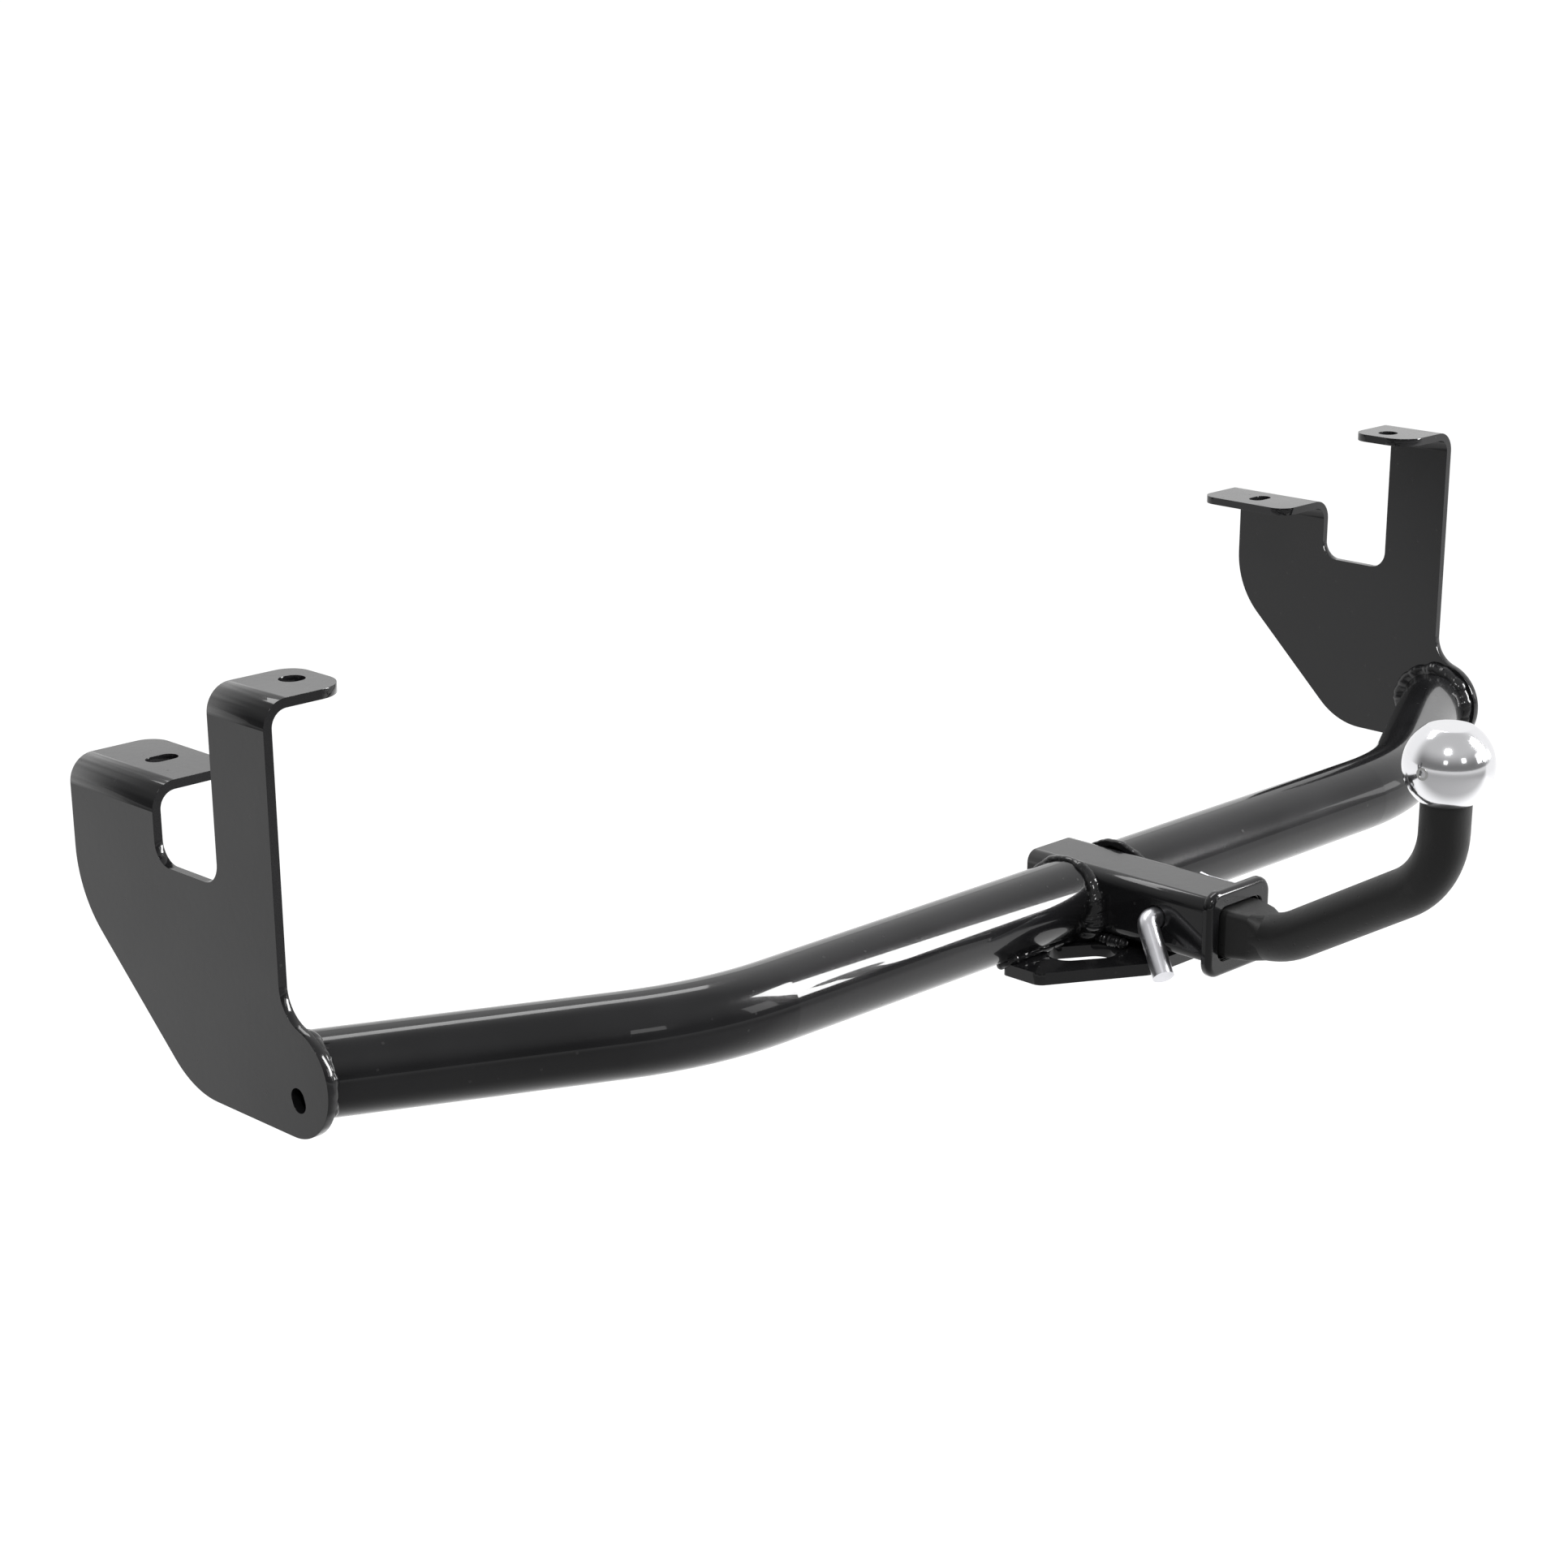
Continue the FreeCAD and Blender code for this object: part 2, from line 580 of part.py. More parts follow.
def pin_clip():
    """Hairpin: one leg through the pin, a loop behind it, one leg over the pin."""
    spread = PIN_R + CLIP_WIRE_R + CLIP_GAP
    loop_top = clip_point(CLIP_REACH + spread / 2, spread / 2)
    leg_top = clip_point(CLIP_REACH, 0)
    outer_top = clip_point(CLIP_REACH, spread)
    heel = clip_point(CLIP_FLICK_RUN - CLIP_TAIL, spread)
    toe = clip_point(-CLIP_TAIL, spread + CLIP_FLICK)
    edges = [
        Part.makeLine(clip_point(-CLIP_TAIL, 0), leg_top),
        Part.Arc(leg_top, loop_top, outer_top).toShape(),
        Part.makeLine(outer_top, heel),
        Part.makeLine(heel, toe),
    ]
    legs = [pipe(Part.Wire(e), CLIP_WIRE_R, e.tangentAt(e.FirstParameter)) for e in edges]
    return legs[0].fuse(legs[1:] + [Part.makeSphere(CLIP_WIRE_R, heel)]).removeSplitter()


def main():
    os.makedirs("parts", exist_ok=True)
    sided = {
        "bracket": left_bracket(),
        "bracket_weld": left_bracket_weld(),
        "receiver_weld": left_receiver_weld(),
        "chain_weld": left_chain_weld(),
        "bridge_weld": left_bridge_weld(),
    }
    parts = {
        "main_tube": main_tube(),
        "receiver_tube": receiver_tube(),
        "receiver_collar": receiver_collar(),
        "collar_weld": collar_weld(),
        "chain_plate": chain_plate(),
        "ball_mount": ball_mount(),
        "tow_ball": tow_ball(),
        "ball_plug": ball_plug(),
        "hitch_pin": hitch_pin(),
        "pin_clip": pin_clip(),
    }
    for name, shape in sided.items():
        parts[f"left_{name}"] = shape
        parts[f"right_{name}"] = mirrored(shape)
    for name, shape in parts.items():
        print(name, len(shape.Solids), shape.isValid(), round(shape.Volume))
        shape.exportStep(f"parts/{name}.step")


main()
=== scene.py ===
import bpy
import numpy as np
from mathutils import Matrix, Vector


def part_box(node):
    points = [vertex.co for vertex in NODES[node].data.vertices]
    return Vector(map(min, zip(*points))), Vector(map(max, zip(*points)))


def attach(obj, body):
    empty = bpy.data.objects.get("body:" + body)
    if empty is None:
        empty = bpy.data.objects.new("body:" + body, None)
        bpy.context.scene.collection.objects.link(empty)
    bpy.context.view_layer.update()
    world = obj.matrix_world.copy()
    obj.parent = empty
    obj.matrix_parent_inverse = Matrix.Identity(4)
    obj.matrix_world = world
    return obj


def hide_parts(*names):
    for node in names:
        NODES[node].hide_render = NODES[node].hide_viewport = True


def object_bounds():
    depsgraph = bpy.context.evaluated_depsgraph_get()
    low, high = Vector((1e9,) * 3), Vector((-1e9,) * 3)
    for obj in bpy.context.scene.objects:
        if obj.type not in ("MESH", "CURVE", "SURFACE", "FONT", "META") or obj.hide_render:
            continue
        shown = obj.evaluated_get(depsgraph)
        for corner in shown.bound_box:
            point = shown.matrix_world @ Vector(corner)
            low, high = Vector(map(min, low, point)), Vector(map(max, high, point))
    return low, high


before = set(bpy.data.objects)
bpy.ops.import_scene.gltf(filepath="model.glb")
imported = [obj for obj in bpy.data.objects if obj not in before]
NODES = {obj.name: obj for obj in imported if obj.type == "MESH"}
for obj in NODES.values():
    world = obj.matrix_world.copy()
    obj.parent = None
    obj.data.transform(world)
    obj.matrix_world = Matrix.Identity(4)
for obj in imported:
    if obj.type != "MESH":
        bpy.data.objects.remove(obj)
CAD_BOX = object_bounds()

bl_info = {
    "name": "Receiver Hitch Looks",
    "version": (1, 0, 0),
    "blender": (4, 5, 0),
    "location": "View3D > Sidebar > Hitch",
    "description": "Welds, ball, coatings, studio and camera for a frame-mount receiver hitch",
    "category": "Object",
}

MM = 0.001
TAU = 2.0 * np.pi
FRAME_BODY = "frame"
MOUNT_BODY = "ball_mount"
SIDES = {"left": -1.0, "right": 1.0}
AHEAD = (0.715, 0.699)      # level direction from the viewer to the hitch

# Places of the solids that the beads follow, in metres.
BRACKET_INNER_X = 0.485     # inner face of each bracket
TUBE_R = 22.225 * MM
TUBE_MID = (-126.4 * MM, -185.4 * MM)   # tube's middle at the receiver, Y and Z
TUBE_END = (-28.5 * MM, -188.9 * MM)    # tube's middle at the brackets, Y and Z
TUBE_STRETCH = 1.1334       # width over height of the slanting tube's cut end
PLATE_LOW, PLATE_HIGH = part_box("chain_plate")
RECEIVER_LOW, RECEIVER_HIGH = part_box("receiver_tube")
WALL_X = RECEIVER_HIGH.x
COLLAR_BACK_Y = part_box("receiver_collar")[1].y
BALL_LOW, BALL_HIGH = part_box("tow_ball")
BALL_R = BALL_HIGH.x
BALL_Y = (BALL_LOW.y + BALL_HIGH.y) / 2
BALL_FLAT = 20.6 * MM       # flat top's height over the ball's middle

# Receiver bead: the share of its radius lost at the top, and its stretch along X.
RECEIVER_BEAD_THIN = 0.74
RECEIVER_BEAD_REACH = 1.25
RECEIVER_BEAD_LIMIT = 14 * MM       # how far it may creep out from the wall
BRACKET_BEAD_LIMIT = 0.470          # how far in towards the middle a bracket bead may go
BRACKET_BEAD_SINK = 2.5 * MM        # how far it may sink into the bracket
BRIDGE_RUN_Y = (-0.1685, -0.1455)   # ends of the bridge beads beside the receiver
BRIDGE_SHARE = 1.3                  # bridge bead's radius over the plate bead's
COLLAR_BEAD_R = 2.0 * MM
COLLAR_CORNER_R = 7 * MM
BALL_LIP = 0.5 * MM                 # rounding of the rim at the ball's flat top
SEEDS = {"bracket": 11, "receiver": 21, "chain": 31, "bridge": 41, "collar": 51}

# Weld beads: spacing of the sections along a path, and points round a section.
SECTION_STEP = 0.55 * MM
SECTION_POINTS = 36

# Edge rounding: merging distance, and the angle past which an edge is sharp.
JOIN_DISTANCE = 0.00001
SHARP_ANGLE = np.radians(38.0)

# Camera: its place, turn, sensor width and shift.
VIEW_PLACE = (-1.3292, -1.2201, 0.3889)
VIEW_RIGHT = (0.69932, -0.71481, 0.0)
VIEW_UP = (0.23371, 0.22864, 0.94504)
VIEW_BACK = (-0.67553, -0.66088, 0.32695)
VIEW_SHIFT = (-0.0306, 0.0870)
SENSOR_WIDTH = 36.0
VIEW_END = 200.0

# Softboxes: name, place, target, width and height in metres, power in watts.
SOFTBOXES = (
    ("key_softbox", (-1.6, -1.2, 1.9), (0, -0.1, -0.1), (0.5, 0.4), 20.0),
    ("tall_softbox", (1.06, -1.33, 0.73), (-0.18, -0.15, -0.17), (0.5, 1.2), 60.0),
    ("top_strip", (0.3, 0.9, 1.8), (0, -0.1, -0.1), (1.6, 0.5), 15.0),
)

# Small lamps that show in the ball: right and up of the ball's middle in ball
# radii, and the lamp's width and height in metres.
BALL_GLINTS = (
    (-0.16, 0.02, (0.34, 0.34)),
    (0.22, 0.06, (0.42, 0.42)),
    (0.54, 0.12, (0.50, 0.75)),
    (0.78, 0.20, (0.42, 0.42)),
)
GLINT_REACH = 2.4           # distance of each small lamp from the ball
GLINT_RADIANCE = 2.4


# --- sizes and colours a user may change ---------------------------------------
class HitchWeldSettings(bpy.types.PropertyGroup):
    bracket_bead: bpy.props.FloatProperty(
        name="Bracket bead radius",
        description="Radius of the bead round each tube end",
        default=6.0 * MM, min=0.0, unit="LENGTH",
    )
    receiver_bead: bpy.props.FloatProperty(
        name="Receiver bead radius",
        description="Radius of the bead where the tube meets the receiver",
        default=8.2 * MM, min=0.0, unit="LENGTH",
    )
    plate_bead: bpy.props.FloatProperty(
        name="Plate bead radius",
        description="Radius of the beads along the chain plate",
        default=2.7 * MM, min=0.0, unit="LENGTH",
    )
    pitch: bpy.props.FloatProperty(
        name="Ripple pitch",
        description="Distance from one weld ripple to the next",
        default=5.0 * MM, min=0.0005, unit="LENGTH",
    )
    ripple: bpy.props.FloatProperty(
        name="Ripple height",
        description="Ripple height as a share of the bead radius",
        default=0.07, min=0.0, max=0.5, subtype="FACTOR",
    )
    lump: bpy.props.FloatProperty(
        name="Lumpiness",
        description="Slow swelling of the bead as a share of its radius",
        default=0.25, min=0.0, max=0.6, subtype="FACTOR",
    )


class HitchFinishSettings(bpy.types.PropertyGroup):
    coat_colour: bpy.props.FloatVectorProperty(
        name="Powder coat", description="Colour of the gloss coating",
        default=(0.0055, 0.0055, 0.006), min=0.0, max=1.0, size=3, subtype="COLOR",
    )
    forged_colour: bpy.props.FloatVectorProperty(
        name="Neck coating", description="Colour of the satin coating on the swan neck",
        default=(0.010, 0.010, 0.010), min=0.0, max=1.0, size=3, subtype="COLOR",
    )
    chrome_colour: bpy.props.FloatVectorProperty(
        name="Chrome", description="Colour of the plated ball",
        default=(0.47, 0.47, 0.48), min=0.0, max=1.0, size=3, subtype="COLOR",
    )
    zinc_colour: bpy.props.FloatVectorProperty(
        name="Zinc", description="Colour of the plated pin",
        default=(0.68, 0.68, 0.71), min=0.0, max=1.0, size=3, subtype="COLOR",
    )
    edge_round: bpy.props.FloatProperty(
        name="Edge rounding", description="Radius on the edges of the pressed plates",
        default=0.7 * MM, min=0.0, unit="LENGTH",
    )


class HitchStudioSettings(bpy.types.PropertyGroup):
    floor_size: bpy.props.FloatProperty(
        name="Floor size", description="Width of the floor", default=60.0, unit="LENGTH",
    )
    floor_drop: bpy.props.FloatProperty(
        name="Floor drop", description="Height at which the hitch hangs over the floor",
        default=0.45, min=0.0, unit="LENGTH",
    )
    far_light: bpy.props.FloatProperty(
        name="Far backdrop", description="Brightness of the room beyond the hitch",
        default=1.03, min=0.0,
    )
    near_light: bpy.props.FloatProperty(
        name="Near backdrop", description="Brightness of the room on the viewer's side",
        default=0.20, min=0.0,
    )
    overhead: bpy.props.FloatProperty(
        name="Ceiling", description="Brightness of the ceiling on the viewer's side",
        default=0.40, min=0.0,
    )
    lens: bpy.props.FloatProperty(
        name="Lens", description="Focal length of the camera in millimetres",
        default=72.93, min=1.0, unit="CAMERA",
    )


# --- shader sums ---------------------------------------------------------------
class Wire:
    """One socket's value inside a shader, with sums written as expressions."""

    def __init__(self, shader, socket):
        self.shader = shader
        self.socket = socket

    def __add__(self, other):
        return self.shader.sum("ADD", self, other)

    __radd__ = __add__

    def __sub__(self, other):
        return self.shader.sum("SUBTRACT", self, other)

    def __rsub__(self, other):
        return self.shader.sum("SUBTRACT", other, self)

    def __mul__(self, other):
        return self.shader.sum("MULTIPLY", self, other)

    __rmul__ = __mul__

    def __pow__(self, other):
        return self.shader.sum("POWER", self, other)


class Shader:
    """Node tree of one material or of the world."""

    def __init__(self, owner):
        owner.use_nodes = True
        self.tree = owner.node_tree
        self.tree.nodes.clear()

    def node(self, kind, settings=None, **values):
        """Adds a node; settings first, then each socket by name or by _number."""
        made = self.tree.nodes.new(kind)
        for key, value in (settings or {}).items():
            setattr(made, key, value)
        for key, value in values.items():
            index = int(key[1:]) if key[1:].isdigit() else key.replace("_", " ")
            socket = made.inputs[index]
            if isinstance(value, Wire):
                self.tree.links.new(value.socket, socket)
            else:
                socket.default_value = value
        return made

    def out(self, made, name=0):
        """One output of a node, by number or name."""
        return Wire(self, made.outputs[name])

    def sum(self, operation, a, b):
        """One Math node on two values or links."""
        return self.out(self.node("ShaderNodeMath", {"operation": operation}, _0=a, _1=b))

    def span(self, value, low, high, to_low=0.0, to_high=1.0):
        """Smooth step of value from low..high on to to_low..to_high."""
        made = self.node(
            "ShaderNodeMapRange", {"interpolation_type": "SMOOTHSTEP"},
            _0=value, _1=low, _2=high, _3=to_low, _4=to_high,
        )
        return self.out(made)

    def blend(self, mask, first, second):
        """Colour mix: first where mask is 0, second where it is 1."""
        made = self.node(
            "ShaderNodeMix", {"data_type": "RGBA"}, _0=mask, _6=rgba(first), _7=rgba(second)
        )
        return self.out(made, 2)

    def noise(self, place, size, detail=2.0, rough=0.5):
        """Cloudy noise whose features are about size metres across."""
        made = self.node(
            "ShaderNodeTexNoise", Vector=place, Scale=1.0 / size, Detail=detail, Roughness=rough
        )
        return self.out(made)

    def cells(self, place, size):
        """Distance to the nearest of scattered points about size metres apart."""
        return self.out(self.node("ShaderNodeTexVoronoi", Vector=place, Scale=1.0 / size))

    def stretched(self, place, scale):
        """Coordinates scaled along each axis, for drawn or turned marks."""
        made = self.node("ShaderNodeMapping", Vector=place, Scale=scale)
        return self.out(made)

    def bump(self, height, distance, under=None):
        """Surface relief of the given depth in metres, over another one if given."""
        more = {"Normal": under} if under else {}
        made = self.node("ShaderNodeBump", Height=height, Strength=1.0, Distance=distance, **more)
        return self.out(made)


def rgba(colour):
    """Colour with full alpha; a link is passed on as it is."""
    if isinstance(colour, Wire):
        return colour
    return tuple(colour) + (1.0,)


def surface(name):
    """A new material with its shader and the Object coordinates wire."""
    material = bpy.data.materials.new(name)
    shader = Shader(material)
    place = shader.out(shader.node("ShaderNodeTexCoord"), "Object")
    return material, shader, place


def finish_surface(shader, constants, **links):
    """Ends a material in one Principled shader; constants go on its own sockets."""
    principled = shader.node("ShaderNodeBsdfPrincipled", **links)
    for key, value in constants.items():
        principled.inputs[key].default_value = value
    wire = shader.out(principled)
    shader.node("ShaderNodeOutputMaterial", Surface=wire)


# --- materials -----------------------------------------------------------------
def gloss_coat(name, colour, peel, lumps):
    """Gloss black powder coat: orange peel, faint haze patches, a few dust specks."""
    material, s, place = surface(name)
    haze = s.noise(place, 0.060, 3.0)
    peel_wave = s.noise(place, 0.0045, 1.0)
    fine = s.noise(place, 0.0012, 2.0)
    specks = s.span(s.cells(place, 0.011), 0.10, 0.045)
    lumpy = s.noise(place, 0.0032, 2.0)
    tint = s.blend(s.span(haze, 0.35, 0.7), colour, [c * 1.5 + 0.0015 for c in colour])
    tint = s.blend(specks * 0.12, tint, (0.10, 0.10, 0.10))
    rough = 0.16 + 0.10 * haze + 0.25 * specks
    normal = s.bump(peel_wave + 0.25 * fine, peel)
    if lumps:
        normal = s.bump(lumpy, lumps, normal)
    constants = {"Specular IOR Level": 0.1, "Coat Roughness": 0.035, "Coat IOR": 1.5}
    finish_surface(
        s, constants, Base_Color=tint, Roughness=rough,
        Coat_Weight=s.span(haze, 0.2, 0.8, 0.60, 0.50), Normal=normal,
    )
    return material


def forged_coat(colour):
    """Satin black over forging scale: soft pits and rubbed patches."""
    material, s, place = surface("forged_black")
    scale = s.noise(place, 0.0022, 4.0, 0.6)
    patch = s.noise(place, 0.022, 4.0, 0.55)
    pits = s.span(s.cells(place, 0.0055), 0.16, 0.05)
    rubbed = s.span(patch, 0.56, 0.72)
    tint = s.blend(rubbed * 0.55, colour, [c * 1.7 for c in colour])
    tint = s.blend(pits * 0.5, tint, (0.006, 0.006, 0.006))
    rough = 0.40 + 0.10 * scale - 0.07 * rubbed
    normal = s.bump(scale + 1.2 * (1.0 - pits), 0.00007)
    finish_surface(
        s, {"Specular IOR Level": 0.3}, Base_Color=tint, Roughness=rough, Normal=normal
    )
    return material


def chrome(colour, flat_z):
    """Mirror chrome with hairlines; the flat top is left turned and pecked."""
    material, s, place = surface("ball_chrome")
    height = s.out(s.node("ShaderNodeSeparateXYZ", Vector=place), 2)
    top = s.span(height, flat_z - 0.0006, flat_z - 0.0002)
    hair = s.noise(s.stretched(place, (1.0, 1.0, 14.0)), 0.030, 5.0, 0.7)
    haze = s.noise(place, 0.018, 3.0)
    pecks = s.span(s.cells(place, 0.0017), 0.42, 0.16)
    grain = s.noise(place, 0.0009, 2.0)
    tint = s.blend(top * 0.85, colour, (0.33, 0.34, 0.36))
    tint = s.blend(top * pecks * 0.7, tint, (0.95, 0.95, 0.96))
    rough = 0.022 + 0.03 * s.span(hair, 0.60, 0.78) + 0.03 * haze + 0.30 * top
    normal = s.bump(top * (pecks + 0.4 * grain), 0.00035)
    finish_surface(
        s, {"Specular IOR Level": 0.5, "Specular Tint": (0.50, 0.51, 0.53, 1.0)},
        Base_Color=tint, Roughness=rough, Metallic=1.0, Normal=normal,
    )
    return material


def plated_steel(name, colour, rough_base, stretch):
    """Plated steel: drawn lines, cloudy plating, dull spots."""
    material, s, place = surface(name)
    drawn = s.noise(s.stretched(place, stretch), 0.004, 4.0, 0.65)
    cloud = s.noise(place, 0.009, 3.0)
    spots = s.span(s.cells(place, 0.0048), 0.15, 0.06)
    tint = s.blend(s.span(cloud, 0.35, 0.7) * 0.4, colour, [c * 0.72 for c in colour])
    tint = s.blend(spots * 0.4, tint, (0.40, 0.40, 0.42))
    rough = rough_base + 0.10 * cloud + 0.10 * spots
    normal = s.bump(drawn, 0.000012)
    finish_surface(
        s, {"Specular IOR Level": 0.5}, Base_Color=tint, Roughness=rough,
        Metallic=s.span(spots, 0.0, 1.0, 1.0, 0.8), Normal=normal,
    )
    return material


def pale_floor():
    """Matte pale floor with the faintest cloudiness. It glows as painted light: full white beyond
    the hitch, and dimmed to a grey glow as painted shade on the viewer's side, most near the
    hitch.
    """
    material, s, place = surface("pale_floor")
    cloud = s.noise(place, 1.5, 2.0)
    tint = s.blend(cloud * 0.15, (0.13, 0.13, 0.13), (0.12, 0.12, 0.12))
    # Painted light and shade: the floor's own glow is full white beyond the hitch and painted
    # down to grey on the viewer's side, fading back towards white with distance.
    axes = s.node("ShaderNodeSeparateXYZ", Vector=place)
    ahead = s.out(axes, 0) * AHEAD[0] + s.out(axes, 1) * AHEAD[1]
    away = s.out(s.node("ShaderNodeVectorMath", {"operation": "LENGTH"}, _0=place), "Value")
    dim = (1.0 - s.span(ahead, -0.6, -0.05)) * (1.0 - 0.65 * s.span(away, 2.0, 7.0))
    # painted glow: white where the mask is 0, painted grey shade where it is 1
    painted_glow = s.blend(dim, (1.0, 1.0, 1.0), (0.30, 0.30, 0.30))
    finish_surface(
        s, {"Specular IOR Level": 0.0, "Emission Strength": 0.95}, Base_Color=tint,
        Roughness=0.75 + 0.1 * cloud, Emission_Color=painted_glow,
    )
    return material


def clothe(node, material):
    """Gives a carried-over solid its finish."""
    piece = NODES[node]
    for slot in piece.material_slots:
        slot.material = material
    if not piece.material_slots:
        piece.data.materials.append(material)
    return piece


def soften(node, radius):
    """Joins a solid's triangles and rounds its sharp edges."""
    piece = NODES[node]
    join = piece.modifiers.new("join", "WELD")
    join.merge_threshold = JOIN_DISTANCE
    rounding = piece.modifiers.new("edge_round", "BEVEL")
    rounding.width = radius
    rounding.segments = 2
    rounding.limit_method = "ANGLE"
    rounding.angle_limit = SHARP_ANGLE
    rounding.harden_normals = True


# --- surfaces ------------------------------------------------------------------
def grid_mesh(name, points, wrap_u, material):
    """Quads over a (rows, columns) grid of points; columns always close up.

    Open rows are capped by a fan to the mean of the first and the last row.
    """
    rows, columns = points.shape[:2]
    index = np.arange(rows * columns).reshape(rows, columns)
    after = np.roll(index, -1, axis=1)
    if wrap_u:
        upper, upper_after = np.roll(index, -1, axis=0), np.roll(after, -1, axis=0)
    else:
        upper, upper_after = index[1:], after[1:]
        index, after = index[:-1], after[:-1]
    quads = np.stack([index, after, upper_after, upper], axis=-1).reshape(-1, 4)
    flat = points.reshape(-1, 3)
    faces = quads.tolist()
    if not wrap_u:
        flat = np.vstack([flat, points[0].mean(axis=0), points[-1].mean(axis=0)])
        first = np.arange(columns)
        last = first + (rows - 1) * columns
        low, high = rows * columns, rows * columns + 1
        faces += np.stack([np.roll(first, -1), first, first * 0 + low], axis=-1).tolist()
        faces += np.stack([last, np.roll(last, -1), last * 0 + high], axis=-1).tolist()
    mesh = bpy.data.meshes.new(name)
    mesh.from_pydata(flat.tolist(), [], faces)
    mesh.materials.append(material)
    mesh.polygons.foreach_set("use_smooth", np.ones(len(mesh.polygons), bool))
    mesh.update()
    piece = bpy.data.objects.new(name, mesh)
    bpy.context.scene.collection.objects.link(piece)
    return piece


def soft_noise(s, seed, waves):
    """Sum of sines of s with seeded phases, about -1 to 1: slow unevenness."""
    rng = np.random.default_rng(seed)
    total = np.zeros_like(s)
    for wave in waves:
        total += np.sin(TAU * s / wave + rng.uniform(0, TAU))
    return total / len(waves)


def resample(path, step, closed):
    """Points along a polyline every step metres, and their running length."""
    ring = np.vstack([path, path[:1]]) if closed else path
    run = np.concatenate([[0.0], np.cumsum(np.linalg.norm(np.diff(ring, axis=0), axis=1))])
    count = max(8, int(round(run[-1] / step)))
    s = np.linspace(0.0, run[-1], count, endpoint=not closed)
    return np.stack([np.interp(s, run, ring[:, k]) for k in range(3)], axis=1), s, run[-1]


def bead_points(path, radius, closed, welds, seed, thin=0.0, reach=1.0):
    """Weld bead swept along a path.

    Radius at length s and turn a round the section is
    R * (0.93 + lump * slow(s) + ripple * |sin pi (s + bow cos a) / pitch| ^ 0.7 + knobs),
    so each ripple is a crescent; open ends shrink as a quarter circle.
    thin is the share of the radius lost at the path's highest point, and reach
    stretches the section along X, for a bead that creeps out along the tube.
    """
    centre, s, length = resample(path, SECTION_STEP, closed)
    if closed:
        along = np.roll(centre, -1, axis=0) - np.roll(centre, 1, axis=0)
    else:
        along = np.gradient(centre, axis=0)
    along /= np.linalg.norm(along, axis=1, keepdims=True)
    pole = np.tile(np.array([0.0, 0.0, 1.0]), (len(s), 1))
    steep = np.abs(along[:, 2:3]) > 0.9
    pole = np.where(steep, np.array([1.0, 0.0, 0.0]), pole)
    if closed:
        plane = np.cross(centre[0] - centre.mean(0), centre[len(s) // 4] - centre.mean(0))
        pole = np.tile(plane / np.linalg.norm(plane), (len(s), 1))
    side = np.cross(along, pole)
    side /= np.linalg.norm(side, axis=1, keepdims=True)
    rise = np.cross(side, along)
    turn = np.linspace(0.0, TAU, SECTION_POINTS, endpoint=False)
    pitch = length / max(1, round(length / welds.pitch)) if closed else welds.pitch
    waves = (length / 3, length / 5, length / 8, length / 13)
    slow = soft_noise(s, seed, waves)[:, None]
    bow = 0.45 * radius * np.cos(turn)[None, :]
    phase = (s[:, None] + bow) / pitch + 0.35 * slow
    scallop = np.abs(np.sin(np.pi * phase)) ** 0.7
    knobs = np.sin(3 * turn[None, :] + 2.2 * s[:, None] / pitch) * slow
    size = radius * (0.93 + welds.lump * slow + welds.ripple * scallop + 0.06 * knobs)
    height = (centre[:, 2] - centre[:, 2].min()) / max(np.ptp(centre[:, 2]), 1e-6)
    size = size * (1.0 - thin * height[:, None] ** 2)
    if not closed:
        ends = np.minimum(s, length - s) / radius
        size = size * np.sqrt(np.clip(1 - (1 - np.clip(ends, 0, 1)) ** 2, 0.0004, 1))[:, None]
    wheel_side = np.cos(turn)[None, :, None] * side[:, None, :]
    wheel_rise = np.sin(turn)[None, :, None] * rise[:, None, :]
    wheel = size[:, :, None] * (wheel_side + wheel_rise)
    wheel[..., 0] *= reach
    return centre[:, None, :] + wheel


def facing_out(points):
    """Turns the grid round if its faces would point inwards."""
    across = points[1, 0] - points[0, 0]
    turned = points[0, 1] - points[0, 0]
    outward = points[0, 0] - points[0].mean(axis=0)
    if np.dot(np.cross(turned, across), outward) < 0:
        return points[:, ::-1]
    return points


def add_bead(name, path, radius, closed, seed, limit, material, **form):
    """Makes one bead, held inside limit = (axis, low, high), and lets it ride."""
    welds = bpy.context.scene.hitch_welds
    path = np.asarray(path, float)
    points = facing_out(bead_points(path, radius, closed, welds, seed, **form))
    axis, low, high = limit
    points[..., axis] = np.clip(points[..., axis], low, high)
    piece = grid_mesh(name, points, closed, material)
    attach(piece, FRAME_BODY)
    return piece


def ring_path(x, middle, half_y, half_z):
    """Ellipse in a plane across X."""
    a = np.linspace(0.0, TAU, 240, endpoint=False)
    y = middle[0] + half_y * np.cos(a)
    z = middle[1] + half_z * np.sin(a)
    return np.stack([np.full_like(a, x), y, z], axis=1)


def rounded_rectangle(half_x, half_z, radius, y, z):
    """Four quarter circles joined by straights, in a plane across Y."""
    a = np.linspace(0.0, TAU, 96, endpoint=False)
    quarter = np.floor(a / (TAU / 4)) * (TAU / 4) + TAU / 8
    cx = np.sign(np.cos(quarter)) * (half_x - radius)
    cz = np.sign(np.sin(quarter)) * (half_z - radius)
    return np.stack(
        [cx + radius * np.cos(a), np.full_like(a, y), z + cz + radius * np.sin(a)], axis=1
    )


